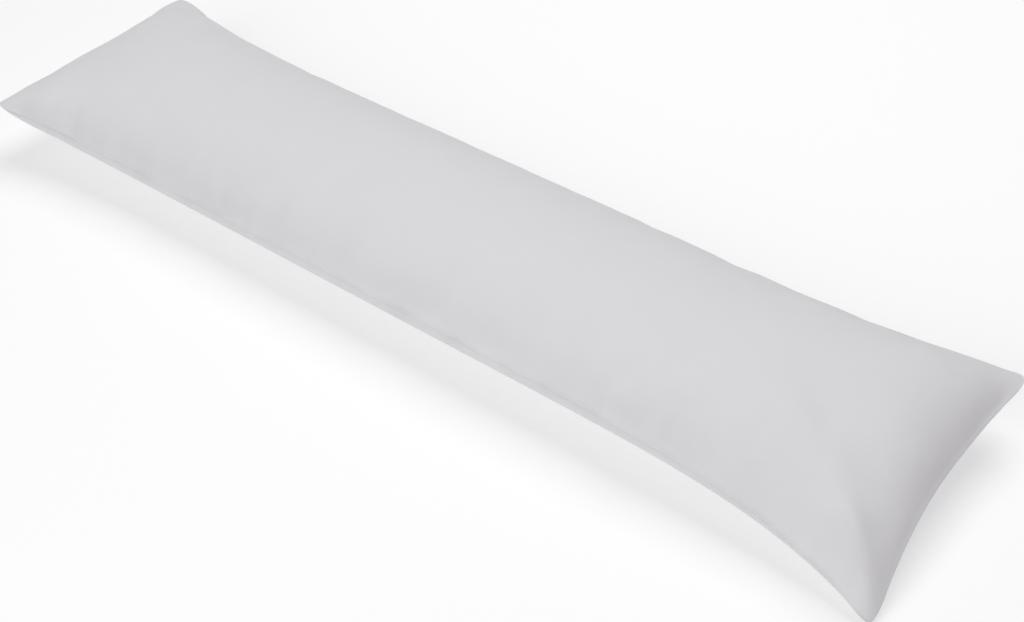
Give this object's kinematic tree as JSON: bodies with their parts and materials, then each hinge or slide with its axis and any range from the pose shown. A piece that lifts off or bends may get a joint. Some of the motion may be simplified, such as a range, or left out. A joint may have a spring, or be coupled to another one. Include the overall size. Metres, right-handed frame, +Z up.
{
  "type": "body pillow",
  "caption": "Long filled body pillow of plain cotton panels sewn edge to edge, with drawn-in sides, a bowed end and a corner that droops to the surface.",
  "frame": {"origin": "middle of the pillow's outline, on the floor it rests on", "axes": "+X along the pillow towards its bowed end, +Y across it, +Z up out of its upper panel"},
  "size_m": [1.784, 0.4552, 0.19],
  "materials": {
    "cotton_cover": "matt, plain-woven, pale grey cotton"
  },
  "bodies": {
    "root": {"pillow": "cotton_cover"}
  },
  "joints": []
}
